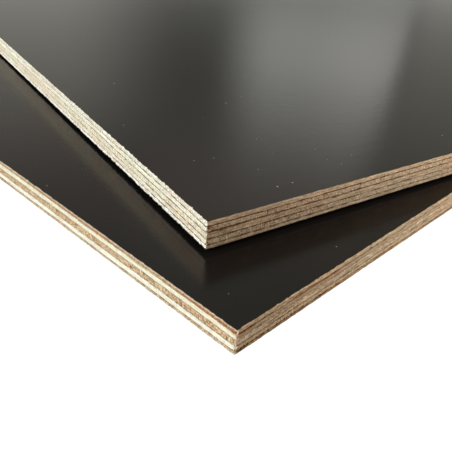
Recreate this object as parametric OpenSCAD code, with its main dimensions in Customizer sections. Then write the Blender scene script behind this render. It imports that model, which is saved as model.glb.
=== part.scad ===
// Stack of two film-faced plywood sheets, the upper one lying askew on the lower one.
// Each sheet is five cross-banded veneers between two resin films.
// Millimetres, +X along the lower sheet's long edges, +Y along its short edges, +Z up.
// The origin is the centre of the lower sheet's underside, which lies on the floor.

/* [Sheets] */
// Length of each sheet, along its long edges
sheet_length = 2440; // [1000:10:3000]
// Width of each sheet, along its short edges
sheet_width = 1220; // [500:10:1500]
// Thickness of the resin film on each face
film_thickness = 0.25; // [0.1:0.05:1]

/* [Upper sheet] */
// Thickness of the upper sheet's face veneer, just under its top film
upper_face_veneer_thickness = 1.95; // [1:0.05:4]
// Thickness of the crossband above the upper sheet's core
upper_first_crossband_thickness = 2.65; // [1:0.05:4]
// Thickness of the upper sheet's core veneer
upper_core_veneer_thickness = 2.95; // [1:0.05:4]
// Thickness of the crossband below the upper sheet's core
upper_second_crossband_thickness = 2.6; // [1:0.05:4]
// Thickness of the upper sheet's back veneer
upper_back_veneer_thickness = 2.05; // [1:0.05:4]

/* [Lower sheet] */
// Thickness of the lower sheet's face veneer, just under its top film
lower_face_veneer_thickness = 1.85; // [1:0.05:4]
// Thickness of the crossband above the lower sheet's core
lower_first_crossband_thickness = 2.05; // [1:0.05:4]
// Thickness of the lower sheet's core veneer
lower_core_veneer_thickness = 3.15; // [1:0.05:4]
// Thickness of the crossband below the lower sheet's core
lower_second_crossband_thickness = 2.15; // [1:0.05:4]
// Thickness of the lower sheet's back veneer
lower_back_veneer_thickness = 1.6; // [1:0.05:4]

/* [Lay of the stack] */
// Angle that the upper sheet is turned by, clockwise from above, in degrees
upper_turn = 11.8; // [0:0.1:20]
// Distance from the lower sheet's short edge in to the upper sheet's near corner
corner_inset_along_length = 21.6; // [0:0.1:200]
// Distance from the lower sheet's long edge in to the upper sheet's near corner
corner_inset_along_width = 37.9; // [0:0.1:200]

/* [Hidden] */

// Layers of each sheet, listed from its back film up to its face film
BACK_FILM = 0;
BACK_VENEER = 1;
SECOND_CROSSBAND = 2;
CORE_VENEER = 3;
FIRST_CROSSBAND = 4;
FACE_VENEER = 5;
FACE_FILM = 6;

lower_layers = [
    film_thickness,
    lower_back_veneer_thickness,
    lower_second_crossband_thickness,
    lower_core_veneer_thickness,
    lower_first_crossband_thickness,
    lower_face_veneer_thickness,
    film_thickness,
];
upper_layers = [
    film_thickness,
    upper_back_veneer_thickness,
    upper_second_crossband_thickness,
    upper_core_veneer_thickness,
    upper_first_crossband_thickness,
    upper_face_veneer_thickness,
    film_thickness,
];

// Height of a layer's underside above the underside of its sheet
function level(layers, i) = i == 0 ? 0 : level(layers, i - 1) + layers[i - 1];

lower_sheet_thickness = level(lower_layers, len(lower_layers));

film_brown = [0.18, 0.16, 0.15];
face_tan = [0.72, 0.50, 0.36];
crossband_cream = [0.93, 0.88, 0.74];
core_tan = [0.80, 0.66, 0.47];

// One layer of a sheet, with the sheet's near corner at the origin
module layer(layers, i) {
    translate([0, 0, level(layers, i)])
        cube([sheet_length, sheet_width, layers[i]]);
}

// One layer of the lower sheet, which lies square and centred on the floor
module lower_layer(i) {
    translate([-sheet_length / 2, -sheet_width / 2, 0])
        layer(lower_layers, i);
}

// One layer of the upper sheet, turned about its near corner on top of the lower sheet
module upper_layer(i) {
    translate([
        corner_inset_along_length - sheet_length / 2,
        corner_inset_along_width - sheet_width / 2,
        lower_sheet_thickness,
    ])
        rotate([0, 0, -upper_turn])
            layer(upper_layers, i);
}

module lower_back_film() { color(film_brown) lower_layer(BACK_FILM); }
module lower_back_veneer() { color(core_tan) lower_layer(BACK_VENEER); }
module lower_second_crossband() { color(crossband_cream) lower_layer(SECOND_CROSSBAND); }
module lower_core_veneer() { color(core_tan) lower_layer(CORE_VENEER); }
module lower_first_crossband() { color(crossband_cream) lower_layer(FIRST_CROSSBAND); }
module lower_face_veneer() { color(face_tan) lower_layer(FACE_VENEER); }
module lower_face_film() { color(film_brown) lower_layer(FACE_FILM); }

module upper_back_film() { color(film_brown) upper_layer(BACK_FILM); }
module upper_back_veneer() { color(crossband_cream) upper_layer(BACK_VENEER); }
module upper_second_crossband() { color(core_tan) upper_layer(SECOND_CROSSBAND); }
module upper_core_veneer() { color(crossband_cream) upper_layer(CORE_VENEER); }
module upper_first_crossband() { color(core_tan) upper_layer(FIRST_CROSSBAND); }
module upper_face_veneer() { color(crossband_cream) upper_layer(FACE_VENEER); }
module upper_face_film() { color(film_brown) upper_layer(FACE_FILM); }

lower_back_film();
lower_back_veneer();
lower_second_crossband();
lower_core_veneer();
lower_first_crossband();
lower_face_veneer();
lower_face_film();
upper_back_film();
upper_back_veneer();
upper_second_crossband();
upper_core_veneer();
upper_first_crossband();
upper_face_veneer();
upper_face_film();
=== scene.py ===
# %% [markdown]
# # Two film-faced plywood sheets
# The object is a pair of stock sheets, the upper one lying askew on the lower one.
# Each sheet is five veneers between two dark resin films, so its sawn edge is striped.
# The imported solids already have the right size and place. They are loaded first, as a fixed frame
# that every mesh below is built around.

# %% Load the frame
import math

import bpy
import numpy as np
from mathutils import Matrix, Vector


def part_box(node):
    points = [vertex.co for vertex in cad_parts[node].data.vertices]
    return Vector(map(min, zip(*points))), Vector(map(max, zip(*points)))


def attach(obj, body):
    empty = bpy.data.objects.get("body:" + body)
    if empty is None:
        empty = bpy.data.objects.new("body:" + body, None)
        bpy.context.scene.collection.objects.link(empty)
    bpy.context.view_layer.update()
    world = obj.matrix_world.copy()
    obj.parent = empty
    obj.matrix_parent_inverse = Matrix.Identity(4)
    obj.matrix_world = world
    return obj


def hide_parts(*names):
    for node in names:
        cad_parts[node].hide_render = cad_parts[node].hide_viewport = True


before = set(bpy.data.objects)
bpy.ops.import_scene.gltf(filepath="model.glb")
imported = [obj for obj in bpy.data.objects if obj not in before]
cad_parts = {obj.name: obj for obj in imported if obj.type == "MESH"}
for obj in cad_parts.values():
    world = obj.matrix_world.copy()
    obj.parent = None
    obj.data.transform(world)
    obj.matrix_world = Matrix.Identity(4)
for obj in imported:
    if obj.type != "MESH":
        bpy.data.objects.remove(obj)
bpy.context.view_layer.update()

MM = 0.001
print("solids in the frame:", len(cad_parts))

# %% [markdown]
# ## Where the sheets lie
# Every piece below is made in its own sheet's axes: x along the long edge, y along the short edge,
# z up from the underside, with the corner nearest the camera at zero. That keeps the grain straight
# in a sheet that lies askew. The sizes could be typed in once more, but then they could drift away
# from the solids, so the corner, the two directions and the height of each layer are measured there.

# %% Measure the sheets
LAYERS = (
    "back_film", "back_veneer", "second_crossband", "core_veneer",
    "first_crossband", "face_veneer", "face_film",
)
BACK_FILM, BACK_VENEER, FACE_VENEER, FACE_FILM = 0, 1, 5, 6


class Sheet:
    """One sheet as the solids give it: its size, its layers' heights and its place."""

    def __init__(self, name):
        self.name = name
        places = {tuple(v.co.xy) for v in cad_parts[name + "_face_film"].data.vertices}
        near = min(places, key=sum)
        _, short_end, long_end, _ = sorted(places, key=lambda place: math.dist(place, near))
        self.length = math.dist(near, long_end)
        self.width = math.dist(near, short_end)
        boxes = [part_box(f"{name}_{layer}") for layer in LAYERS]
        self.floor = boxes[0][0].z
        self.levels = [low.z - self.floor for low, high in boxes] + [boxes[-1][1].z - self.floor]
        turn = math.atan2(long_end[1] - near[1], long_end[0] - near[0])
        self.turn = math.degrees(turn)
        self.corner = Vector((*near, self.floor))
        self.matrix = Matrix.Translation(self.corner) @ Matrix.Rotation(turn, 4, "Z")


lower = Sheet("lower")
upper = Sheet("upper")
for sheet in (lower, upper):
    print(f"{sheet.name}: {sheet.length:.3f} x {sheet.width:.3f} m, turned {sheet.turn:.1f} degrees,"
          f" {1000 * sheet.levels[-1]:.2f} mm thick")

# %% [markdown]
# ## The camera
# A close-up of one corner shows strong perspective, so the camera's place matters more than its lens.
# A constraint could aim it at the corner, but that hides the angles. Here they are plain numbers:
# a step back from the lower sheet's top corner, a compass heading, a downward tilt and a slight
# roll, all found by matching the straight edges of the sheets in the picture.

# %% Set up the camera
PICTURE_PX = 452
FOCAL_PX = 610.4
SENSOR_WIDTH = 36
STEP_BACK = Vector((-0.1154, -0.0971, 0.1347))
HEADING, TILT, ROLL = 42.48, 32.13, 4.53

camera = bpy.data.objects.new("camera", bpy.data.cameras.new("camera"))
bpy.context.scene.collection.objects.link(camera)
near_corner = lower.corner + Vector((0, 0, lower.levels[-1]))
camera.matrix_world = (
    Matrix.Translation(near_corner + STEP_BACK)
    @ Matrix.Rotation(math.radians(HEADING - 90), 4, "Z")
    @ Matrix.Rotation(math.radians(90 - TILT), 4, "X")
    @ Matrix.Rotation(math.radians(ROLL), 4, "Z")
)
camera.data.sensor_width = SENSOR_WIDTH
camera.data.lens = FOCAL_PX / PICTURE_PX * SENSOR_WIDTH
camera.data.clip_start = 0.01
bpy.context.scene.camera = camera
bpy.context.scene.view_settings.view_transform = "Standard"
print(f"camera {1000 * STEP_BACK.length:.0f} mm from the corner, {camera.data.lens:.1f} mm lens")

# %% [markdown]
# ## Shader maths in plain Python
# Node trees get long when each Math node is placed by hand. A small class wraps a socket, so that
# `1 - mask` or `grain * 0.4` adds the node by itself. Everything else goes through one method,
# which sets a node's settings first and then its sockets.

# %% Wrap a socket
class Wire:
    """A socket of a node tree, with Python's operators for sums on single values."""

    def __init__(self, tree, socket=None):
        self.tree = tree
        self.socket = socket

    def node(self, kind, settings=None, sockets=None, out=0):
        """Adds a node, sets its settings, then its sockets, and returns one of its outputs."""
        made = self.tree.nodes.new(kind)
        for name, value in (settings or {}).items():
            setattr(made, name, value)
        for key, value in (sockets or {}).items():
            if isinstance(value, Wire):
                self.tree.links.new(value.socket, made.inputs[key])
            else:
                made.inputs[key].default_value = value
        return Wire(self.tree, made.outputs[out] if made.outputs else None)

    def sum_of(self, operation, first, second):
        return self.node("ShaderNodeMath", {"operation": operation}, {0: first, 1: second})

    def __add__(self, other):
        return self.sum_of("ADD", self, other)

    def __sub__(self, other):
        return self.sum_of("SUBTRACT", self, other)

    def __rsub__(self, other):
        return self.sum_of("SUBTRACT", other, self)

    def __mul__(self, other):
        return self.sum_of("MULTIPLY", self, other)

    __radd__ = __add__
    __rmul__ = __mul__

    def ramp(self, low, high):
        """Rises smoothly from 0 at low to 1 at high, or falls where low is the larger."""
        limits = {"Value": self, "From Min": low, "From Max": high}
        return self.node("ShaderNodeMapRange", {"interpolation_type": "SMOOTHSTEP"}, limits)

    def between(self, plain, other):
        """A colour that goes from plain to other as this value goes from 0 to 1."""
        return self.node("ShaderNodeMix", {"data_type": "RGBA"}, {0: self, 6: plain, 7: other}, out=2)

    def stretched(self, scale):
        """A vector times a scale for each axis."""
        return self.node("ShaderNodeVectorMath", {"operation": "MULTIPLY"}, {0: self, 1: scale})

    def scaled(self, factor):
        """A colour or vector made larger or smaller by one value."""
        return self.node("ShaderNodeVectorMath", {"operation": "SCALE"}, {0: self, "Scale": factor})

    def noise(self, scale, detail=2.0):
        """Cloudy noise at these coordinates, about 0.5 on average."""
        return self.node("ShaderNodeTexNoise", None, {"Vector": self, "Scale": scale, "Detail": detail})

    def spots(self, scale):
        """Distance to the nearest of many scattered points, for specks of dust."""
        return self.node("ShaderNodeTexVoronoi", None, {"Vector": self, "Scale": scale})

    def cells(self, scale):
        """One random value from 0 to 1 for each of many small cells."""
        colour = self.node("ShaderNodeTexVoronoi", None, {"Vector": self, "Scale": scale}, out="Color")
        return self.node("ShaderNodeSeparateColor", None, {0: colour}, out="Red")


print("sockets can be added, multiplied and mixed")

# %% [markdown]
# ## A material from wires
# Every material below starts from an empty tree, and each of the stack's own ends in one Principled
# shader. Three helpers keep that the same everywhere: one makes the tree, one reads a value from
# the mesh's points, and one joins the shader to the output.

# %% Start and end a material
def new_material(name):
    """An empty node material, and a wire to start its tree from."""
    material = bpy.data.materials.new(name)
    material.use_nodes = True
    material.node_tree.nodes.clear()
    return material, Wire(material.node_tree)


def attribute(start, name):
    """A value that the mesh holds at each of its points."""
    return start.node("ShaderNodeAttribute", {"attribute_name": name}, out="Fac")


def surface(start, **sockets):
    """A Principled shader with these sockets, joined to the material's output."""
    named = {key.replace("_", " "): value for key, value in sockets.items()}
    shader = start.node("ShaderNodeBsdfPrincipled", None, named)
    start.node("ShaderNodeOutputMaterial", None, {"Surface": shader})


print("material helpers ready")

# %% [markdown]
# ## Light
# Soft daylight comes from the left, a little behind the camera, so the left edges are bright. A warm
# fill from higher up on the right keeps the right edges brown. Area lamps close by would fade along
# sheets of this length. Suns give the same level everywhere, and their wide discs keep shadows soft.

# %% Light the scene
SUN_WIDTH = math.radians(55)


def add_sun(name, side, height, strength, colour):
    """A wide, soft sun that stands at a compass side and a height, both in degrees."""
    sun = bpy.data.objects.new(name, bpy.data.lights.new(name, "SUN"))
    sun.data.energy = strength
    sun.data.angle = SUN_WIDTH
    sun.data.color = colour
    sun.rotation_euler = (math.radians(90 - height), 0, math.radians(side + 90))
    bpy.context.scene.collection.objects.link(sun)


add_sun("daylight", side=168, height=30, strength=2.8, colour=(1.0, 1.0, 0.98))
add_sun("warm_fill", side=-62, height=54, strength=2.4, colour=(1.0, 0.90, 0.77))
print("suns placed")

# %% [markdown]
# ## The room that the film mirrors
# A dark satin film has hardly any colour of its own, and what shows on it is the room. A picture of
# a room could be wrapped round the scene, but a few soft steps by compass and height are enough,
# and they can be moved at will: a dim band, grey walls that differ to the left and right, a ceiling,
# and one tall window that gives the film its sheen. The window's right edge softens with height.
# The camera's own rays see plain white in place of the room.

# %% Paint the room
DIM_GREY = (0.155, 0.162, 0.145, 1)
MID_GREY, MID_LEFT, MID_RIGHT = (0.52, 0.49, 0.46, 1), (0.30, 0.285, 0.27, 1), (0.26, 0.25, 0.215, 1)
CEILING_GREY, CEILING_RIGHT = (0.275, 0.33, 0.30, 1), (0.178, 0.212, 0.182, 1)
LEFT_GREY, RIGHT_GREY = (0.62, 0.615, 0.555, 1), (0.39, 0.39, 0.335, 1)
WINDOW_WHITE, WINDOW_BRIGHT = (1.04, 1.09, 1.03, 1), (1.25, 1.265, 1.20, 1)
HORIZON_WHITE = (1, 1, 1, 1)

# Where one part of the room blends into the next, in degrees round the compass
MID_TO_LEFT, MID_TO_RIGHT, CEILING_TO_RIGHT = (47.5, 55), (31, 27), (39, 34)
LEFT_SIDE, RIGHT_SIDE = (47.3, 59.5), (28.5, 25.5)
WINDOW_LEFT, WINDOW_BRIGHTENS = (45.2, 39.2), (37, 30)
WINDOW_RIGHT, WINDOW_RIGHT_SOFT = (25.8, 26.8), (23.7, 28.9)
# How far the window's right edge leans, in degrees, from the horizon to the zenith
WINDOW_LEAN = 6
# Where they blend in degrees above the horizon
DIM_TO_MID, MID_TO_CEILING, LEFT_TOP, RIGHT_TOP = (18, 32), (32, 35), (28, 20), (30, 24)
WINDOW_SILL, WINDOW_TOP, WINDOW_SOFTENS = (10, 15), (31.3, 16.5), (17, 24)
HORIZON_TOP = (10, 7)

world = bpy.data.worlds.new("room")
world.use_nodes = True
world.node_tree.nodes.clear()
start = Wire(world.node_tree)
ray = start.node("ShaderNodeTexCoord", out="Generated")
east, north, rise = (start.node("ShaderNodeSeparateXYZ", None, {0: ray}, out=axis) for axis in "XYZ")
compass = start.sum_of("ARCTAN2", north, east) * math.degrees(1)


def above(low, high):
    """Goes from 0 to 1 as a ray climbs from low to high, in degrees, or the other way round."""
    return rise.ramp(math.sin(math.radians(low)), math.sin(math.radians(high)))


wall = compass.ramp(*MID_TO_LEFT).between(MID_GREY, MID_LEFT)
wall = compass.ramp(*MID_TO_RIGHT).between(wall, MID_RIGHT)
ceiling = compass.ramp(*CEILING_TO_RIGHT).between(CEILING_GREY, CEILING_RIGHT)
room = above(*DIM_TO_MID).between(DIM_GREY, wall)
room = above(*MID_TO_CEILING).between(room, ceiling)
room = (compass.ramp(*LEFT_SIDE) * above(*LEFT_TOP)).between(room, LEFT_GREY)
room = (compass.ramp(*RIGHT_SIDE) * above(*RIGHT_TOP)).between(room, RIGHT_GREY)
jamb = compass - rise * WINDOW_LEAN
sharp, soft = jamb.ramp(*WINDOW_RIGHT), jamb.ramp(*WINDOW_RIGHT_SOFT)
window = compass.ramp(*WINDOW_LEFT) * (sharp + (soft - sharp) * above(*WINDOW_SOFTENS))
window = window * above(*WINDOW_TOP) * above(*WINDOW_SILL)
room = window.between(room, compass.ramp(*WINDOW_BRIGHTENS).between(WINDOW_WHITE, WINDOW_BRIGHT))
room = above(*HORIZON_TOP).between(room, HORIZON_WHITE)
room = start.node("ShaderNodeLightPath", out="Is Camera Ray").between(room, HORIZON_WHITE)
glow = start.node("ShaderNodeBackground", None, {"Color": room, "Strength": 1.0})
start.node("ShaderNodeOutputWorld", None, {"Surface": glow})
bpy.context.scene.world = world
print("room painted with", len(world.node_tree.nodes), "nodes")

# %% [markdown]
# ## The floor
# The sheets lie on a pale ground that runs into a white background. A white floor would throw too
# much light up onto the edges. This one is grey to the light and glows only for rays that look at
# it or mirror it, so it shows as white and still darkens where the sheets shade it.

# %% Lay the floor
FLOOR_SIDE = 60.0
FLOOR_GREY, FLOOR_GLOW = 0.30, 0.82
half = FLOOR_SIDE / 2
floor_mesh = bpy.data.meshes.new("floor")
floor_corners = [(-half, -half, 0), (half, -half, 0), (half, half, 0), (-half, half, 0)]
floor_mesh.from_pydata(floor_corners, [], [(0, 1, 2, 3)])
floor = bpy.data.objects.new("floor", floor_mesh)
bpy.context.scene.collection.objects.link(floor)
material, start = new_material("pale_floor")
seen = start.node("ShaderNodeLightPath", out="Is Camera Ray")
seen = seen + start.node("ShaderNodeLightPath", out="Is Glossy Ray")
seen = seen + start.node("ShaderNodeLightPath", out="Is Transmission Ray")
matt = start.node("ShaderNodeBsdfDiffuse", None, {"Color": (FLOOR_GREY, FLOOR_GREY, FLOOR_GREY, 1)})
white = start.node("ShaderNodeEmission", None, {"Strength": seen * FLOOR_GLOW})
both = start.node("ShaderNodeAddShader", None, {0: matt, 1: white})
start.node("ShaderNodeOutputMaterial", None, {"Surface": both})
floor_mesh.materials.append(material)
print(f"floor of {FLOOR_SIDE:.0f} m laid")

# %% [markdown]
# ## Random relief that comes out the same every time
# A saw leaves an edge that is rough at several scales: fibres, torn chips and slow waves. Blender's
# displacement textures could shake the points, but they know nothing of edges and layers. Here all
# relief comes from smooth noise on a grid of random numbers, with a fixed seed for each use.

# %% Noise for the relief
NOISE_COLUMNS, NOISE_ROWS = 4096, 64


def rough(along, across, seed):
    """Smooth random numbers from 0 to 1 at these grid coordinates."""
    table = np.random.default_rng(seed).random((NOISE_COLUMNS, NOISE_ROWS))
    u, v = np.floor(along).astype(int), np.floor(across).astype(int)
    a, b = along - u, across - v
    a, b = a * a * (3 - 2 * a), b * b * (3 - 2 * b)

    def at(du, dv):
        return table[(u + du) % NOISE_COLUMNS, (v + dv) % NOISE_ROWS]

    low = at(0, 0) * (1 - a) + at(1, 0) * a
    high = at(0, 1) * (1 - a) + at(1, 1) * a
    return low * (1 - b) + high * b


def chips(run, total, spacing, widths, depths, seed):
    """How far small chips bite in at each place along the rim."""
    rng = np.random.default_rng(seed)
    count = int(total / spacing)
    bites = np.zeros_like(run)
    for middle, width, depth in zip(
        rng.random(count) * total,
        rng.uniform(*widths, count),
        rng.uniform(*depths, count) * rng.random(count),
    ):
        first, last = np.searchsorted(run, (middle - width / 2, middle + width / 2))
        near = 1 - np.abs(run[first:last] - middle) / (width / 2)
        bites[first:last] = np.maximum(bites[first:last], depth * near)
    return bites


print("noise ready")

# %% [markdown]
# ## The rim of a sheet
# All layers of a sheet share one outline, walked anticlockwise from the near corner. The columns
# stand close together by that corner, where the camera is, and further apart round the back.
# Relief sets points in from the outline. Where that moves a corner inwards, the columns beside it
# slide along their edge, so that none of them passes it and folds the mesh over.

# %% Walk the rim
FINE, COARSE = 0.40 * MM, 4.5 * MM
CLOSE_UP, FAR_OFF = 0.26, 0.42
NEAR_LONG, FAR_SHORT, FAR_LONG, NEAR_SHORT = 0, 1, 2, 3
SQUEEZE = 0.95


def steps_from_corner(length):
    """Distances from the near corner along one edge, closest together at the corner."""
    places = [0.0]
    while places[-1] < length:
        away = min(max((places[-1] - CLOSE_UP) / (FAR_OFF - CLOSE_UP), 0), 1)
        places.append(places[-1] + FINE + (COARSE - FINE) * away)
    return np.array(places) * length / places[-1]


class Rim:
    """The outline of a sheet as columns, with what each column knows of its place."""

    def __init__(self, sheet):
        long, short = sheet.length, sheet.width
        plain = [np.linspace(0, side, round(side / COARSE)) for side in (short, long)]
        self.edges = [steps_from_corner(long), *plain, short - steps_from_corner(short)[::-1]]
        corners = np.array([(0, 0), (long, 0), (long, short), (0, short)], float)
        ways = np.array([(1, 0), (0, 1), (-1, 0), (0, -1)], float)
        outward = np.array([(0, -1), (1, 0), (0, 1), (-1, 0)], float)
        spots, normals, runs, sides, along = [], [], [], [], []
        walked = 0.0
        for k, places in enumerate(self.edges):
            spots.append(corners[k] + places[:-1, None] * ways[k])
            facing = np.tile(outward[k], (len(places) - 1, 1))
            facing[0] += outward[k - 1]
            normals.append(facing)
            runs.append(walked + places[:-1])
            along.append(places[:-1])
            sides.append(np.full(len(places) - 1, k))
            walked += places[-1]
        self.spots = np.concatenate(spots)
        self.normals = np.concatenate(normals)
        self.run = np.concatenate(runs)
        self.side = np.concatenate(sides)
        self.along = np.concatenate(along)
        self.ways = ways[self.side]
        self.total = walked
        self.count = len(self.run)
        starts = np.searchsorted(self.side, np.arange(4))
        self.corner_before = starts[self.side]
        self.corner_after = np.roll(starts, -1)[self.side]
        self.to_next = np.array([long, short, long, short])[self.side] - self.along
        self.on_long = np.isin(self.side, (NEAR_LONG, FAR_LONG))
        self.to_corner = np.min(np.hypot(*(self.spots[:, None] - corners).transpose(2, 0, 1)), axis=1)
        self.from_near = np.where(self.side == NEAR_SHORT, self.to_next, self.along)

    def slide(self, inset):
        """How far each column moves along its edge, so that none passes a corner that is set in."""
        push = np.maximum(inset[self.corner_before] - SQUEEZE * self.along, 0)
        pull = np.maximum(inset[self.corner_after] - SQUEEZE * self.to_next, 0)
        return np.where(self.along > 0, push - pull, 0)


rims = {sheet.name: Rim(sheet) for sheet in (lower, upper)}
for name, rim in rims.items():
    print(f"{name}: {rim.count} columns round {rim.total:.2f} m")

# %% [markdown]
# ## Lids that can curl
# A lid could be one large face, but a sheet that curls at a corner needs points inside the rim, and
# all layers need the same ones, or one would poke through the next. So a coarse grid lies inside
# the rim, closer where the sheet curls, and a hem of triangles stitches it to the many columns.

# %% Stitch the lids
CURL_REACH = 0.8
GRID_INSET, GRID_STEP, FAR_LINES = 0.02, 0.06, 8


class Lid:
    """The inner grid of a sheet's layers, and the triangles that join it to the rim."""

    def __init__(self, sheet, rim):
        xs, ys = self.lines(sheet.length), self.lines(sheet.width)
        self.inner = np.stack(np.meshgrid(xs, ys), -1).reshape(-1, 2)
        number = np.arange(len(self.inner)).reshape(len(ys), len(xs))
        quads = np.stack([number[:-1, :-1], number[:-1, 1:], number[1:, 1:], number[1:, :-1]], -1)
        self.quads = quads.reshape(-1, 4)
        rings = [number[0], number[:, -1], number[-1, ::-1], number[::-1, 0]]
        places = [xs, ys, sheet.length - xs[::-1], sheet.width - ys[::-1]]
        triangles = []
        first = 0
        for edge, ring, inside in zip(rim.edges, rings, places):
            outer = (first + np.arange(len(edge))) % rim.count
            i = j = 0
            while i < len(edge) - 1 or j < len(ring) - 1:
                next_out = edge[i + 1] if i < len(edge) - 1 else np.inf
                next_in = inside[j + 1] if j < len(ring) - 1 else np.inf
                if next_out <= next_in:
                    triangles.append((outer[i], outer[i + 1], rim.count + ring[j]))
                    i += 1
                else:
                    triangles.append((outer[i], rim.count + ring[j + 1], rim.count + ring[j]))
                    j += 1
            first += len(edge) - 1
        self.hem = np.array(triangles)

    @staticmethod
    def lines(length):
        """Where the grid's lines cross one edge, from the near corner on."""
        close = np.arange(GRID_INSET, CURL_REACH, GRID_STEP)
        far = np.linspace(CURL_REACH + GRID_STEP, length - GRID_INSET, FAR_LINES)
        return np.concatenate([close, far])


lids = {sheet.name: Lid(sheet, rims[sheet.name]) for sheet in (lower, upper)}
for name, lid in lids.items():
    print(f"{name}: {len(lid.quads)} inner squares, {len(lid.hem)} triangles in the hem")

# %% [markdown]
# ## A map for baking
# When materials are baked, each face needs its own place on a square picture. An edge that is seven
# metres round and two millimetres tall would get no pixels there as one strip. So the map cuts the
# band into many strips, one above another, and puts the base and the lid side by side over them.

# %% Lay out the bake map
BAKE_MAP = "OFBake"
STRIP_ENDS, STRIP_SIDES, LID_MARGIN = 0.03, 0.07, 0.01


def band_places(rim, rows, strips, share):
    """Where the corners of the band's faces lie: in strips, which fill a share of the map."""
    begin, end = rim.run, np.append(rim.run[1:], rim.total)
    strip = np.floor((begin + end) / 2 / rim.total * strips)
    wide, tall = 1 - 2 * STRIP_ENDS, 1 - 2 * STRIP_SIDES
    left, right = (STRIP_ENDS + wide * (run / rim.total * strips - strip) for run in (begin, end))
    places = []
    for low, high in zip(rows[:-1], rows[1:]):
        bottom, roof = ((strip + STRIP_SIDES + tall * level) * share / strips for level in (low, high))
        corners = np.stack([left, bottom, right, bottom, right, roof, left, roof], -1)
        places.append(corners.reshape(-1, 2))
    return np.concatenate(places)


def lid_places(plan, faces, left, share):
    """Where the corners of a lid's faces lie, in one half of the map above the strips."""
    x, y = plan[faces.ravel()].T
    wide, tall = 0.5 - 2 * LID_MARGIN, 1 - share - 2 * LID_MARGIN
    return np.column_stack([left + LID_MARGIN + wide * y, share + LID_MARGIN + tall * x])


print("bake map ready")

# %% [markdown]
# ## Points and faces of one layer
# A layer is a band round the rim with several rows of points up its height, closed by a base and a
# lid. Modifiers could cut it from a box, but arrays of points give each row its own relief. The
# upper sheet's near corner stands slightly off the lower sheet, and all its layers follow that curl.

# %% Points and faces
CURL = 2.42 * MM


def curl(spots):
    """How far the upper sheet's near corner stands off the lower sheet."""
    near = np.clip(1 - spots / CURL_REACH, 0, None)
    return CURL * (near[:, 0] * near[:, 1]) ** 1.5


def layer_points(sheet, base, top, rows, inset):
    """Rows of points up the band, then the inner grids of the base and the lid."""
    rim, inner = rims[sheet.name], lids[sheet.name].inner
    points = []
    for row, level in enumerate(rows):
        slid = rim.slide(inset[row])[:, None] * rim.ways
        spots = rim.spots - inset[row][:, None] * rim.normals + slid
        points.append(np.column_stack([spots, base * (1 - level) + top * level]))
    for edge in (base, top):
        points.append(np.column_stack([inner, np.full(len(inner), np.median(edge))]))
    points = np.concatenate(points)
    if sheet is upper:
        points[:, 2] += curl(points[:, :2])
    return points


def layer_faces(sheet, row_count):
    """Squares of the band, squares of the base and the lid, and their hems."""
    rim, lid = rims[sheet.name], lids[sheet.name]
    here = np.arange(rim.count)
    after = (here + 1) % rim.count
    ring = np.stack([here, after, after + rim.count, here + rim.count], -1)
    band = np.concatenate([ring + row * rim.count for row in range(row_count - 1)])
    last_row = (row_count - 1) * rim.count
    base_from = row_count * rim.count
    top_from = base_from + len(lid.inner)

    def hem(rim_from, grid_from):
        return np.where(lid.hem < rim.count, lid.hem + rim_from, lid.hem - rim.count + grid_from)

    squares = [(lid.quads + base_from)[:, ::-1], lid.quads + top_from]
    return band, squares, [hem(0, base_from)[:, ::-1], hem(last_row, top_from)]


print(f"near corner of the upper sheet stands up by {CURL / MM:.2f} mm")

# %% [markdown]
# ## One layer as a closed mesh
# The arrays fill a new mesh in a few large steps, which is much faster than adding faces one by one.
# The lids are flat shaded, so that light meets the film as one plane, and so are the long edges,
# where fine saw lines have to stay crisp. Each point also holds values that the materials read, such
# as its distance from the nearest glue line.

# %% Build a layer
def layer_mesh(name, sheet, base, top, rows, inset, values, strips, share):
    """A closed mesh from heights at the rim, rows up the band and how far each point is set in."""
    rim = rims[sheet.name]
    points = layer_points(sheet, base, top, rows, inset)
    band, squares, hems = layer_faces(sheet, len(rows))
    quads, triangles = np.concatenate([band, *squares]), np.concatenate(hems)
    face_count = len(quads) + len(triangles)
    mesh = bpy.data.meshes.new(name)
    mesh.vertices.add(len(points))
    mesh.vertices.foreach_set("co", points.astype(np.float32).ravel())
    mesh.loops.add(quads.size + triangles.size)
    face_points = np.concatenate([quads.ravel(), triangles.ravel()])
    mesh.loops.foreach_set("vertex_index", face_points.astype(np.int32))
    mesh.polygons.add(face_count)
    starts = np.concatenate([4 * np.arange(len(quads)), quads.size + 3 * np.arange(len(triangles))])
    mesh.polygons.foreach_set("loop_start", starts.astype(np.int32))
    smooth = np.zeros(face_count, bool)
    smooth[:len(band)] = np.tile(~rim.on_long, len(rows) - 1)
    mesh.polygons.foreach_set("use_smooth", smooth)
    plan = points[:, :2] / (sheet.length, sheet.width)
    halves = (0, 0.5, 0, 0.5)
    places = [lid_places(plan, faces, left, share) for faces, left in zip(squares + hems, halves)]
    places = np.concatenate([band_places(rim, rows, strips, share), *places])
    mesh.uv_layers.new(name=BAKE_MAP).uv.foreach_set("vector", places.astype(np.float32).ravel())
    inside = np.ones(len(points) - len(rows) * rim.count)
    for key, value in values.items():
        spread = np.concatenate([np.broadcast_to(value, (len(rows), rim.count)).ravel(), inside])
        mesh.attributes.new(key, "FLOAT", "POINT").data.foreach_set("value", spread.astype(np.float32))
    mesh.update(calc_edges=True)
    mesh.validate()
    piece = bpy.data.objects.new(name, mesh)
    bpy.context.scene.collection.objects.link(piece)
    piece.matrix_world = sheet.matrix
    return piece


print("layer builder ready")

# %% [markdown]
# ## Glue lines that wander
# No veneer is perfectly even, so the glue lines on a real edge rise and fall by a tenth of a
# millimetre or two, and lie a little higher or lower on the long edges than on the short ones. Each
# veneer could have a wave of its own, but then gaps would open. Two neighbours share one line, so
# both read it from the same function.

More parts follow.
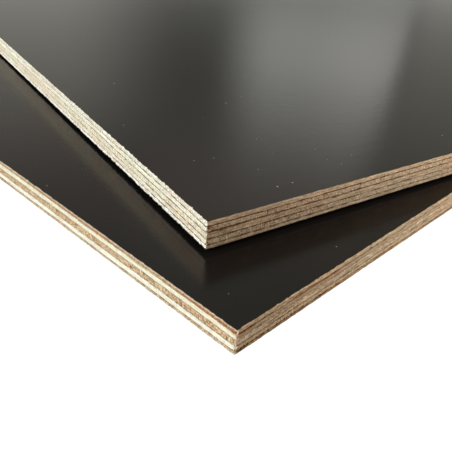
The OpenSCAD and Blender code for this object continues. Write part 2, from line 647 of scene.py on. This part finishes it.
# %% Heights of the layers along the rim
WANDER = 0.16 * MM
SLOW_WAVE, QUICK_WAVE = 35 * MM, 6 * MM
SLOW_SHARE, QUICK_SHARE = 1.6, 0.8
SHIFT_BLEND = 20 * MM

# How far the glue lines under layers 2 to 5 are shifted up in millimetres, on long and on short edges
LINE_SHIFT = {
    "lower": ((-0.05, -0.06), (-0.20, 0.22), (-0.40, 0.04), (-0.20, 0.20)),
    "upper": ((-0.36, -0.08), (-0.38, -0.08), (-0.22, -0.17), (-0.20, -0.27)),
}


def line_height(sheet, i):
    """Height along the rim of the boundary under layer i."""
    rim = rims[sheet.name]
    height = np.full(rim.count, sheet.levels[i])
    if BACK_VENEER < i <= FACE_VENEER:
        seed = 100 * (sheet is upper) + i
        slow = rough(rim.run / SLOW_WAVE, np.zeros(rim.count), seed) - 0.5
        quick = rough(rim.run / QUICK_WAVE, np.zeros(rim.count), seed + 50) - 0.5
        on_long, on_short = LINE_SHIFT[sheet.name][i - 2]
        middle, half = (on_long + on_short) / 2, (on_long - on_short) / 2
        shift = middle + np.where(rim.on_long, half, -half) * np.clip(rim.to_corner / SHIFT_BLEND, 0, 1)
        height += WANDER * (SLOW_SHARE * slow + QUICK_SHARE * quick) + shift * MM
    return height


print(f"glue lines wander by up to {WANDER * (SLOW_SHARE + QUICK_SHARE) / 2 / MM:.2f} mm")

# %% [markdown]
# ## Dark resin film
# The film is paper soaked in resin and pressed on hot: almost black, smooth, with a satin sheen that
# differs a little from sheet to sheet. What shows on it is mostly reflection, so its roughness
# matters more than its colour. The brown resin warms what it mirrors head on, which is the shader's
# specular tint. Noise in the roughness, and fine grain and ripples in the bump, keep it from
# looking like glass. The specks of dust that catch the eye are placed one by one, and a few more
# come from scattered points.

# %% Film material
# Specks of dust: distance along the long edge and along the short edge, radius, in millimetres
DUST = {
    "upper": (
        (41, 10.6, 0.40), (49, 10.6, 0.34), (11, 95, 0.30), (153, 17, 0.34), (22, 46.5, 0.24),
        (81, 15, 0.28), (61.5, 54, 0.27), (32, 152, 0.34), (74, 100, 0.32), (92, 20, 0.24),
        (43, 27, 0.2), (88, 105.5, 0.24), (51.5, 87, 0.2), (31.3, 45, 0.22), (80.5, 32.6, 0.2),
        (78, 21.4, 0.2), (59, 37.3, 0.18),
    ),
    "lower": ((66.6, 8.6, 0.24), (4.2, 122, 0.25), (11.8, 15.6, 0.18)),
}
DUST_GREY = (0.32, 0.30, 0.27, 1)
FILM_DARK, FILM_PALE = (0.0050, 0.0044, 0.0041, 1), (0.0068, 0.0060, 0.0056, 1)
# Roughness and tint of what each sheet's film mirrors
FILM_FINISH = {"upper": (0.14, (1.0, 0.80, 0.68, 1)), "lower": (0.20, (1.0, 0.77, 0.68, 1))}


def film_material(name, specks, roughness, tint):
    """Almost black resin with a sheen, ripples and specks of dust."""
    material, start = new_material(name)
    place = start.node("ShaderNodeTexCoord", out="Object")
    cloud = place.noise(9.0, 3.0)
    ripples = place.noise(1400.0, 2.0) + place.noise(230.0, 3.0) * 7.0
    dust = place.spots(42.0).ramp(0.016, 0.006) * place.noise(23.0).ramp(0.52, 0.58) * 0.6
    flat = place.stretched((1, 1, 0))
    for x, y, radius in specks:
        ends = {0: flat, 1: (x * MM, y * MM, 0)}
        away = start.node("ShaderNodeVectorMath", {"operation": "DISTANCE"}, ends, out="Value")
        dust = dust + away.ramp(1.3 * radius * MM, 0.4 * radius * MM)
    colour = dust.between(cloud.between(FILM_DARK, FILM_PALE), DUST_GREY)
    bump = start.node("ShaderNodeBump", None, {"Strength": 0.05, "Distance": 0.0001, "Height": ripples})
    surface(start, Base_Color=colour, Roughness=roughness + cloud * 0.05 + dust * 0.3, Normal=bump,
            Specular_IOR_Level=0.42, Specular_Tint=tint)
    return material


film_faces = {name: film_material(name + "_resin_film", DUST[name], *FILM_FINISH[name]) for name in DUST}
print("film materials made,", sum(len(specks) for specks in DUST.values()), "specks of dust placed")

# %% [markdown]
# ## The film's cut rim
# Where the saw has gone through, the film shows as a thin brown line without its sheen. The lowest
# one is painted pale instead, as painted glare where it runs into the bright ground. It is a second
# material on the same mesh, which needs no mask, because the faces of the rim are known by their
# number.

# %% Film rim material
def film_rim_material(name, dark, pale):
    """Dull resin, mottled between two colours."""
    material, start = new_material(name)
    place = start.node("ShaderNodeTexCoord", out="Object")
    surface(start, Base_Color=place.noise(900.0).between(dark, pale), Roughness=0.6)
    return material


clean_rim = film_rim_material("film_edge", (0.030, 0.018, 0.012, 1), (0.12, 0.070, 0.042, 1))
# The lowest film's pale rim is painted glare where it meets the bright ground
glare_pale_rim = film_rim_material("dusty_film_edge", (0.50, 0.42, 0.33, 1), (0.86, 0.80, 0.72, 1))
print("rims:", clean_rim.name, "and", glare_pale_rim.name)

# %% [markdown]
# ## Sawn veneer
# A veneer's grain runs one way, so its sawn edge shows long fibres on two sides and end grain on the
# other two. Two materials could do that, but noise stretched along the grain gives both at once:
# streaks where the saw ran along the fibres and specks where it cut across them. The glue line is a
# ragged dark stripe next to each boundary, in a colour of its own for each sheet. On this stack the
# long edges are the browner ones, and by the corners they are browned further with painted shade.
# The upright arris at each corner is worn, with painted shade in its frayed hollows and a painted
# highlight where it catches the light. Pits and gouges are darkened with painted shade, and the pale
# rim next to a film is partly bare wood and partly a painted highlight.

# %% Veneer material
# Filters of the glue lines, on the short edges and on the long edges
GLUE_FILTER = {
    "lower": ((0.42, 0.25, 0.12, 1), (0.26, 0.13, 0.045, 1)),
    "upper": ((0.19, 0.11, 0.045, 1), (0.23, 0.115, 0.04, 1)),
}
# Two colours of the worn upright arris at the corners of each sheet: the dark one is painted shade
# in its frayed hollows, the pale one a painted highlight where it catches the light
WORN_ARRIS_LIGHT_AND_SHADE = {
    "lower": ((0.42, 0.26, 0.165, 1), (0.86, 0.68, 0.54, 1)),
    "upper": ((0.20, 0.085, 0.045, 1), (0.66, 0.47, 0.33, 1)),
}
# The second colour is the pale rim next to the film: partly bare wood, partly a painted highlight where
# the arris catches the light
LIGHT_FLECK, BARE_WOOD_AND_HIGHLIGHT = (0.86, 0.70, 0.52, 1), (0.84, 0.74, 0.60, 1)
WARM_FILTER, PINK_FILTER = (1.05, 0.93, 0.74), (0.97, 0.89, 0.88)
# The second filter darkens dark flecks, and is painted shade in pits and gouges
STAIN_FILTER, FLECK_AND_PIT_SHADE = (0.68, 0.39, 0.26), (0.20, 0.12, 0.07)
# Painted shade that browns the long edges by the corners
CORNER_PAINTED_SHADE = (0.375, 0.355, 0.335)
GRAIN_STRETCH, HAIR_STRETCH = 0.04, 0.3


def veneer_material(name, sheet, along_x, short_edge, long_edge,
                    coarse, dark_flecks, light_flecks, bare_rim_and_highlight):
    """Wood with its grain along x or y, with a colour for the short edges and one for the long edges."""
    material, start = new_material(name)
    place = start.node("ShaderNodeTexCoord", out="Object")
    grain = place.stretched((GRAIN_STRETCH, 1, 1) if along_x else (1, GRAIN_STRETCH, 1))
    hairs = place.stretched((HAIR_STRETCH, 1, 1) if along_x else (1, HAIR_STRETCH, 1))
    long_side = attribute(start, "long_side")
    corner = attribute(start, "corner")
    end_grain = 1 - long_side if along_x else long_side

    # Light and dark fibres
    fibres = grain.noise(1700.0, 2.0) * 1.5 + hairs.noise(1500.0, 2.0) * 1.6 - 1.55
    bands = (grain.noise(430.0, 2.0) + place.noise(170.0, 3.0)) * 0.35 - 0.35
    pulp = place.cells(2200.0) - 0.5
    tooth = place.stretched((1, 1, 0.25)).noise(1500.0, 2.0)
    torn = pulp * 0.8 + (tooth - 0.5) * 2.0
    contrast = coarse * (0.62 + long_side * 0.38)
    tone = 1 + contrast * (fibres + bands + torn * (0.35 + end_grain * 0.65))
    wood = long_side.between((*short_edge, 1), (*long_edge, 1)).scaled(tone)

    # Slow changes of hue, and painted shade that browns the long edges by the corners
    wood = (long_side * corner).between(wood, wood.stretched(CORNER_PAINTED_SHADE))
    shaded = (1 - tone).ramp(-0.05, 0.40) * (0.9 - long_side * 0.4)
    warm = place.noise(330.0, 2.0).ramp(0.50, 0.72) * 0.5 + shaded
    wood = warm.between(wood, wood.stretched(WARM_FILTER))
    pink = place.noise(60.0, 1.0).ramp(0.42, 0.62) * (coarse * 0.6)
    wood = pink.between(wood, wood.stretched(PINK_FILTER))

    # Pale and dark flecks, and painted shade in the saw's gouges
    pale = grain.noise(1000.0, 2.0).ramp(0.56, 0.66) * long_side * light_flecks
    wood = (pale * (1 - corner * 0.72)).between(wood, LIGHT_FLECK)
    dark = place.noise(1500.0, 2.0).ramp(0.52, 0.64) * (1 - long_side * 0.3) * dark_flecks
    # Painted shade in the saw's gouges across the end grain
    dark = dark + tooth.ramp(0.58, 0.68) * end_grain * long_side * 0.6
    wood = dark.between(wood, wood.stretched(FLECK_AND_PIT_SHADE))

    # Ragged glue lines, in clumps
    ragged = place.noise(800.0, 3.0)
    clump = place.noise(260.0, 2.0).ramp(0.36, 0.60)
    reach = 0.15 + long_side * 0.04 + clump * (0.07 + long_side * 0.08) + (ragged - 0.5) * 0.5
    line = (attribute(start, "glue_gap") - reach).ramp(0.12, -0.05) * attribute(start, "glue_force")
    line = line * (0.45 + clump * 0.5 + corner * 0.1)
    wood = line.between(wood, wood.stretched(long_side.between(*GLUE_FILTER[sheet.name])))

    # Stains, pits darkened with painted shade, the pale rim next to the film that is bare wood and
    # painted highlight, and the worn arris with painted shade and highlights
    stain = (attribute(start, "stain") + (ragged - 0.5) * 0.5).ramp(0.1, 1.0)
    wood = stain.between(wood, wood.stretched(STAIN_FILTER))
    # Pits darkened with painted shade
    pit = (attribute(start, "pit") + (ragged - 0.5) * 0.7).ramp(0.25, 0.6)
    wood = pit.between(wood, wood.stretched(FLECK_AND_PIT_SHADE))
    short_rim, long_rim = bare_rim_and_highlight
    # Pale rim next to the film: bare wood, and a painted highlight along the arris
    bare_and_lit = (attribute(start, "film_gap") - ragged * 0.5).ramp(0.12, -0.10)
    wood = (bare_and_lit * (short_rim + long_side * (long_rim - short_rim))).between(wood, BARE_WOOD_AND_HIGHLIGHT)
    # Worn arris, with painted shade in its hollows and a painted highlight on its edge
    worn_lit_and_shaded = (attribute(start, "arris") + (ragged - 0.5) * 2.0).ramp(0.40, 0.80)
    colour = worn_lit_and_shaded.between(wood, place.noise(800.0).ramp(0.46, 0.54).between(*WORN_ARRIS_LIGHT_AND_SHADE[sheet.name]))

    height = fibres * 0.5 + torn * 0.5 - dark * 0.5 - line * 0.5 - pit
    relief = start.node("ShaderNodeBump", None, {"Strength": 0.6, "Distance": 0.0004, "Height": height})
    surface(start, Base_Color=colour, Roughness=0.85, Normal=relief, Specular_IOR_Level=0.2)
    return material


print("veneer material ready")

# %% [markdown]
# ## Stains and pits
# Resin has bled into the wood beside some glue lines and left reddish brown streaks, and the saw has
# torn small pits, which are set in and darkened with painted shade. They could be painted on by hand,
# but then they would be tied to one mesh.
# Here they are soft ovals on the edge faces. Those that catch the eye by the near corners are placed
# one by one, with a row of torn spots low on the lower sheet's long edge, and the rest are
# scattered from a seed.

# %% Place the stains and pits
def on_edge(edge, *ovals):
    """The same ovals, each with its edge in front."""
    return [(edge, *oval) for oval in ovals]


# Distance from the near corner, height, half length, half height, all in millimetres, and strength
STAINS = {
    "lower": on_edge(
        NEAR_LONG,
        (5, 8.9, 5, 0.6, 1.3), (19.5, 9.0, 3, 0.5, 0.8), (31, 9.0, 3, 0.7, 0.8), (35, 8.9, 3, 0.45, 0.8),
        (30, 9.7, 1.6, 0.5, 0.5), (40, 9.7, 4, 0.5, 0.5), (43, 9.2, 6, 0.6, 1.0), (53, 9.0, 5, 0.6, 1.6),
        (66, 9.1, 8, 0.5, 0.9), (21.5, 2.6, 0.9, 0.9, 0.6), (23, 4.0, 1.8, 0.35, 0.9),
        (28, 4.1, 1.6, 0.35, 1.0), (10, 4.1, 1, 0.35, 0.8), (24, 1.7, 1.5, 0.4, 0.6),
        (2, 1.4, 2, 0.6, 0.9), (50, 1.6, 5, 0.5, 0.9),
    ) + on_edge(
        NEAR_SHORT,
        (6, 9.9, 9, 0.9, 0.75), (21, 9.9, 9, 0.8, 0.75), (36, 9.8, 7, 0.6, 0.5), (52, 9.8, 6, 0.6, 0.3),
        (0.9, 9.2, 1.6, 0.9, 0.7), (27, 5.4, 4, 0.9, 0.5), (72, 9.9, 12, 0.9, 0.6),
        (95, 9.9, 14, 0.9, 0.5), (120, 9.9, 14, 0.9, 0.5), (37.5, 4.8, 2.5, 0.7, 0.6),
        (57, 5.9, 1.6, 1.0, 0.7), (46, 6.0, 2, 0.7, 0.4), (13, 1.9, 5, 0.25, 0.7),
        (22, 1.9, 3, 0.25, 0.6), (10, 4.4, 6, 0.25, 0.4),
    ),
    "upper": on_edge(
        NEAR_LONG,
        # The three spots at the very corner are painted shade in the frayed hollows of the end grain, on
        # reddish brown wood
        (0.7, 9.7, 0.7, 1.3, 2.0), (1.3, 4.5, 0.9, 0.6, 2.0), (0.6, 2.4, 0.6, 0.5, 1.5),
    ) + on_edge(
        NEAR_SHORT,
        (8, 7.5, 3, 0.4, 0.9), (3.5, 7.1, 1.5, 0.4, 0.7), (12.5, 7.6, 1, 0.4, 0.8), (66, 7.0, 5, 0.6, 0.6),
        (40, 7.5, 4, 0.3, 0.6), (53, 7.6, 4, 0.3, 0.5), (6, 2.4, 4, 0.3, 0.7), (21, 2.4, 7, 0.3, 0.7),
        (4, 10.3, 3, 0.3, 0.4),
    ),
}
PITS = {
    "lower": on_edge(
        NEAR_LONG,
        (12.7, 6.4, 0.8, 0.3, 1.0), (25.4, 6.5, 0.7, 0.25, 0.8),
    ) + on_edge(
        NEAR_SHORT,
        (27.5, 4.3, 0.8, 0.3, 0.8), (30, 4.3, 0.6, 0.3, 0.8), (47, 4.6, 0.9, 0.3, 0.8),
        (56.5, 5.4, 0.4, 0.6, 0.8), (21, 4.3, 0.6, 0.25, 0.6),
    ),
    "upper": on_edge(
        NEAR_LONG,
        (28.8, 9.2, 0.35, 0.9, 0.9),
    ) + on_edge(
        NEAR_SHORT,
        (23, 4.8, 0.7, 0.3, 0.9), (33.5, 5.0, 1.0, 0.3, 0.7), (40, 4.9, 0.7, 0.3, 0.6),
    ),
}
# Torn spots: their distances from the near corner, and the height, half sizes and strength of each
TORN_SPOTS = (
    3, 4.6, 6.4, 8.6, 10.9, 13.3, 14.7, 17, 21.6, 23.8,
    25.9, 27.2, 29.8, 31.6, 36.6, 39, 44, 47, 52, 58,
)
TORN_SHAPE = (1.65, 0.4, 0.5, 1.1)
PITS["lower"] += on_edge(NEAR_LONG, *((middle, *TORN_SHAPE) for middle in TORN_SPOTS))
for name in STAINS:
    print(f"{name}: {len(STAINS[name])} stains and {len(PITS[name])} pits placed")

# %% [markdown]
# ## Pits all round
# A sawn edge has small pits everywhere, and nobody could place them all. A seeded generator spreads
# them over the four edges. Each row of points then asks how strongly the ovals cover it, and that
# answer is what the mesh holds.

# %% Scatter more pits
PIT_COUNT, PIT_REACH, PIT_LOWEST = 160, 2000, 0.4
PIT_LENGTHS, PIT_HEIGHTS, PIT_STRENGTHS = (0.3, 0.9), (0.2, 0.4), (0.3, 0.9)


def scattered(seed, highest):
    """Ovals at random places on all four edges."""
    rng = np.random.default_rng(seed)
    edges = (NEAR_LONG, FAR_SHORT, FAR_LONG, NEAR_SHORT)
    return [(rng.choice(edges), PIT_REACH * rng.random(), rng.uniform(PIT_LOWEST, highest),
             rng.uniform(*PIT_LENGTHS), rng.uniform(*PIT_HEIGHTS), rng.uniform(*PIT_STRENGTHS))
            for _ in range(PIT_COUNT)]


def marks(rim, height, ovals):
    """Strength of the ovals at one row of points round the rim."""
    total = np.zeros(rim.count)
    for edge, middle, level, half_length, half_height, strength in ovals:
        along = (rim.from_near / MM - middle) / half_length
        up = (height / MM - level) / half_height
        total += np.where(rim.side == edge, strength * np.exp(-along ** 2 - up ** 2), 0)
    return np.minimum(total, 1)


PITS["lower"] += scattered(seed=72, highest=10.5)
PITS["upper"] += scattered(seed=73, highest=11.5)
print("pits in all:", len(PITS["lower"] + PITS["upper"]))

# %% [markdown]
# ## Chipped rims
# Where the saw teeth come out of a sheet they break small chips from the brittle film, deepest along
# the upper sheet's short edges, and the wood next to it is torn as well. The film and the veneer
# behind it read the same chips, so that pale wood shows in each of them.

# %% Tear the rims
CHIP_SPACING, CHIP_WIDTHS, CHIP_SHARES = 1.6 * MM, (0.8 * MM, 3.0 * MM), (0.3, 1.0)
# Depth of the chips in millimetres, from the near long edge on round
CHIP_DEPTH = {
    "lower": {BACK_FILM: (0.4, 0.4, 0.4, 0.4), FACE_FILM: (0.3, 0.3, 0.3, 0.3)},
    "upper": {BACK_FILM: (0.3, 1.2, 0.3, 1.2), FACE_FILM: (0.3, 0.7, 0.3, 0.7)},
}


def torn_rim(sheet, film):
    """How far one film of a sheet has broken away along its rim, in millimetres."""
    rim = rims[sheet.name]
    seed = 3000 + 20 * film + 500 * (sheet is upper)
    bites = chips(rim.run, rim.total, CHIP_SPACING, CHIP_WIDTHS, CHIP_SHARES, seed)
    return bites * np.array(CHIP_DEPTH[sheet.name][film])[rim.side]


torn_rims = {
    (sheet.name, film): torn_rim(sheet, film)
    for sheet in (lower, upper) for film in (BACK_FILM, FACE_FILM)
}
for (name, film), depth in torn_rims.items():
    print(f"{name}_{LAYERS[film]}: deepest chip {depth.max():.2f} mm")

# %% [markdown]
# ## The sawn edge of a veneer
# The saw leaves the soft wood slightly proud of the hard glue, end grain rougher than long grain,
# and a frayed upright arris at each corner. On the long edges every second row of points is set in,
# like fine saw lines. A bump could show all this, but on an edge seen this close the outline has to
# be rough as well. All relief goes inwards, so that no point leaves the sheet's true outline.

# %% Saw the edges
# Depths and gaps are in millimetres, the steps of the noise and the reaches along the rim in metres
GROOVE_REACH, GROOVE_LEAST, GROOVE_MORE, GROOVE_STEP = 0.25, 0.04, 0.14, 1.1 * MM
CRUMB_DEPTH, LONG_CRUMB, SHORT_CRUMB = 0.3, 0.45 * MM, 0.7 * MM
LONG_RIDGES, SHORT_RIDGES, RIDGE_FADE, RIDGE_STEP = 0.30, 0.10, 0.4, 6 * MM
FRAY_DEPTH, FRAY_STEP, FRAY_RISE = 0.7, 0.5 * MM, 0.8 * MM
FRAY_REACH = {"lower": 1.8 * MM, "upper": 1.2 * MM}
TEAR_HEIGHT, TEAR_SHARE = 0.55, 0.85


def saw_cut(sheet, i, along_x, row, height, border_gap, film_gap):
    """How far the saw has cut into one row of points of a veneer's edge, in millimetres."""
    rim = rims[sheet.name]
    seed = 1000 + 20 * i + 500 * (sheet is upper)
    groove = GROOVE_LEAST + GROOVE_MORE * rough(rim.run / GROOVE_STEP, np.full(rim.count, i), seed)
    groove = groove * np.clip(1 - border_gap / GROOVE_REACH, 0, 1)
    crumb = np.where(rim.on_long, LONG_CRUMB, SHORT_CRUMB)
    crumbs = rough(rim.run / crumb, height / crumb, seed + 1) ** 2 * CRUMB_DEPTH
    crumbs = np.where(rim.on_long != along_x, crumbs, 0)
    wave = rough(rim.run / RIDGE_STEP, np.full(rim.count, row), seed + 2)
    ridges = np.where(rim.on_long, LONG_RIDGES * (row % 2) * (0.6 + 0.4 * wave), SHORT_RIDGES * wave)
    ridges = ridges * np.clip(film_gap / RIDGE_FADE, 0, 1)
    fray = rough(rim.run / FRAY_STEP, height / FRAY_RISE, seed + 3)
    fray = fray * FRAY_DEPTH * np.clip(1 - rim.to_corner / FRAY_REACH[sheet.name], 0, 1)
    torn = torn_rims[sheet.name, BACK_FILM if i == BACK_VENEER else FACE_FILM]
    tear = torn * TEAR_SHARE * np.clip(1 - film_gap / TEAR_HEIGHT, 0, 1)
    return groove + fray + tear + crumbs + ridges


print("saw lines up to", LONG_RIDGES, "mm deep")

# %% [markdown]
# ## How strong the glue lines are
# Some glue lines are bold and others hardly show, and most are clearest by the corners. Random
# strengths would be quicker to write, but these lines are what the eye follows along an edge, so
# each has one number for the short edges and one for the long edges.

# %% Strength of the glue lines
# Strength of the glue lines under layers 2 to 5, on the short edges and on the long edges
GLUE_FORCE = {
    "lower": ((0.7, 0.65, 0.8, 0.3), (0.6, 0.8, 0.35, 1.0)),
    "upper": ((1.45, 0.85, 1.6, 0.95), (0.9, 1.2, 1.05, 1.45)),
}
# How much the glue lines fade away from the corners, on the short edges and on the long edges
GLUE_FADE = {"lower": (0.1, 0.0), "upper": (0.6, 0.3)}
FADE_REACH, FADE_START = 0.15, 0.2


def glue_force(sheet, i):
    """Strength along the rim of the glue line under layer i, with none next to a film."""
    rim = rims[sheet.name]
    if not BACK_VENEER < i <= FACE_VENEER:
        return np.zeros(rim.count)
    short_force, long_force = (forces[i - 2] for forces in GLUE_FORCE[sheet.name])
    short_fade, long_fade = GLUE_FADE[sheet.name]
    away = np.clip(rim.to_corner / FADE_REACH - FADE_START, 0, 1)
    fade = np.where(rim.on_long, long_fade, short_fade) * away
    return np.where(rim.on_long, long_force, short_force) * (1 - fade)


for sheet in (lower, upper):
    print(sheet.name, "strongest glue line", max(max(forces) for forces in GLUE_FORCE[sheet.name]))

# %% [markdown]
# ## Making a veneer
# A veneer is a band of rows with the saw's relief, closer together at its two borders. The points
# hold what the material asks for: the gap to the nearest glue line and its strength, the gap to the
# film, and how near a corner, a stain or a pit is. The colours could be painted by height alone,
# but then they would miss the relief. Here both come from the same numbers.

# %% Make a veneer
ROWS = (0.0, 0.05, 0.15, 0.25, 0.35, 0.45, 0.55, 0.65, 0.75, 0.85, 0.95, 1.0)
# A gap in millimetres that keeps clear of every glue line and film
NO_LINE = 9.0
PIT_DEPTH = 0.35
ARRIS = {"lower": 2.2 * MM, "upper": 0.9 * MM}
# Reach and steepness of the painted shade on the long edges by the corners
CORNER_SHADE = {"lower": (0.19, 1.2), "upper": (0.155, 1.5)}


def make_veneer(sheet, i, along_x, material):
    """One veneer with a sawn edge, in place of its plain solid."""
    rim = rims[sheet.name]
    node = f"{sheet.name}_{LAYERS[i]}"
    base, top = line_height(sheet, i), line_height(sheet, i + 1)
    force_below, force_above = glue_force(sheet, i), glue_force(sheet, i + 1)
    inset = []
    values = {"glue_gap": [], "glue_force": [], "film_gap": [], "stain": [], "pit": []}
    for row, share in enumerate(ROWS):
        height = base + share * (top - base)
        over = share * (top - base) / MM
        under = (1 - share) * (top - base) / MM
        film_gap = {BACK_VENEER: over, FACE_VENEER: under}.get(i, np.full(rim.count, NO_LINE))
        pit = marks(rim, height, PITS[sheet.name])
        cut = saw_cut(sheet, i, along_x, row, height, np.minimum(over, under), film_gap)
        inset.append((cut + PIT_DEPTH * pit) * MM)
        gap_below = over if i > BACK_VENEER else NO_LINE
        gap_above = under if i < FACE_VENEER else NO_LINE
        values["glue_gap"].append(np.where(over < under, gap_below, gap_above))
        values["glue_force"].append(np.where(over < under, force_below, force_above))
        values["film_gap"].append(film_gap)
        values["stain"].append(marks(rim, height, STAINS[sheet.name]))
        values["pit"].append(pit)
    # How near a corner is, which also sets where painted shade browns the long edges
    shade_reach, shade_power = CORNER_SHADE[sheet.name]
    values["long_side"] = rim.on_long
    values["corner"] = np.exp(-((rim.to_corner / shade_reach) ** shade_power))
    values["arris"] = np.where(rim.on_long, np.clip(1 - rim.to_corner / ARRIS[sheet.name], 0, 1), 0)
    piece = layer_mesh(node + "_sawn", sheet, base, top, ROWS, inset, values, strips=56, share=0.9)
    piece.data.materials.append(material)
    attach(piece, "root")
    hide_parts(node)
    return piece


print("a veneer has", len(ROWS), "rows of points up its edge")

# %% [markdown]
# ## The ten veneers
# On the lower sheet the crossbands are pale and even and the other veneers brown and coarse, which is
# what stripes its edge. The upper sheet's veneers are more alike. One material with a mask for each
# layer would do, but a material of its own lets each veneer be tuned without touching the rest.

# %% Make the ten veneers
# Layer number, whether the grain runs along x, colours of the short and the long edges, coarseness,
# dark flecks, light flecks, bare wood and painted highlight at the rim of the short and the long
# edges, slot in the record
VENEERS = {
    "lower": (
        (1, True, (0.53, 0.43, 0.30), (0.57, 0.42, 0.27), 1.3, 0.45, 0.2, (0.9, 0.5), "core_veneer"),
        (2, False, (0.85, 0.86, 0.765), (0.91, 0.73, 0.54), 0.6, 0.08, 0.15, (0, 0), "crossband"),
        (3, True, (0.61, 0.475, 0.315), (0.87, 0.73, 0.55), 1.35, 0.75, 0.1, (0, 0), "core_veneer"),
        (4, False, (0.80, 0.80, 0.65), (0.76, 0.60, 0.445), 0.6, 0.08, 0.15, (0, 0), "crossband"),
        (5, True, (0.47, 0.355, 0.238), (0.87, 0.69, 0.48), 1.2, 0.25, 0.1, (0.42, 0.15), "face_veneer"),
    ),
    "upper": (
        (1, True, (0.90, 0.92, 0.86), (0.71, 0.575, 0.43), 1.0, 0.20, 0.1, (0.25, 0.20), "face_veneer"),
        (2, False, (0.81, 0.775, 0.64), (0.715, 0.59, 0.445), 1.15, 0.20, 0.5, (0, 0), "crossband"),
        (3, True, (0.815, 0.795, 0.66), (0.715, 0.565, 0.41), 1.0, 0.28, 0.1, (0, 0), "core_veneer"),
        (4, False, (0.87, 0.875, 0.755), (0.81, 0.645, 0.48), 1.05, 0.14, 0.5, (0, 0), "crossband"),
        (5, True, (0.80, 0.805, 0.72), (0.89, 0.69, 0.50), 1.0, 0.20, 0.1, (0.1, 0.20), "face_veneer"),
    ),
}
for sheet in (lower, upper):
    for i, along_x, *looks, slot in VENEERS[sheet.name]:
        wood = veneer_material(f"{sheet.name}_{LAYERS[i]}_wood", sheet, along_x, *looks)
        piece = make_veneer(sheet, i, along_x, wood)
        print(piece.name, len(piece.data.vertices), "points")

# %% [markdown]
# ## Making the films
# A film is the same band with only two rows. Its rim is set back a little from the veneers, most of
# all at the lowest film, and the chips of the torn rims bite further in. A film has next to no
# edge, so nearly all of its bake map goes to the base and the lid.

# %% Make the films
RAGGED_STEP = 1.5 * MM
# Setback of the rim in millimetres, from the near long edge on round
FILM_SETBACK = {
    "lower": {BACK_FILM: (0.4, 0.4, 0.4, 0.4), FACE_FILM: (0.32, 0.20, 0.20, 0.30)},
    "upper": {BACK_FILM: (0.06, 0.10, 0.06, 0.10), FACE_FILM: (0.14, 0.14, 0.14, 0.18)},
}


def make_film(sheet, i):
    """One film with a chipped rim, in place of its plain solid."""
    rim = rims[sheet.name]
    node = f"{sheet.name}_{LAYERS[i]}"
    setback = np.array(FILM_SETBACK[sheet.name][i])[rim.side]
    ragged = setback * (0.5 + rough(rim.run / RAGGED_STEP, np.zeros(rim.count), 4000 + i))
    inset = (ragged + torn_rims[sheet.name, i]) * MM
    base, top = line_height(sheet, i), line_height(sheet, i + 1)
    rows, insets = (0.0, 1.0), [inset, inset]
    piece = layer_mesh(node + "_pressed", sheet, base, top, rows, insets, {}, strips=8, share=0.07)
    piece.data.materials.append(film_faces[sheet.name])
    # The lowest film's rim gets the pale colour that is painted glare
    piece.data.materials.append(glare_pale_rim if node == "lower_back_film" else clean_rim)
    is_rim = np.arange(len(piece.data.polygons)) < rim.count
    piece.data.polygons.foreach_set("material_index", is_rim.astype(np.int32))
    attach(piece, "root")
    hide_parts(node)
    return piece


for sheet in (lower, upper):
    for i in (BACK_FILM, FACE_FILM):
        piece = make_film(sheet, i)
        print(piece.name, len(piece.data.vertices), "points")
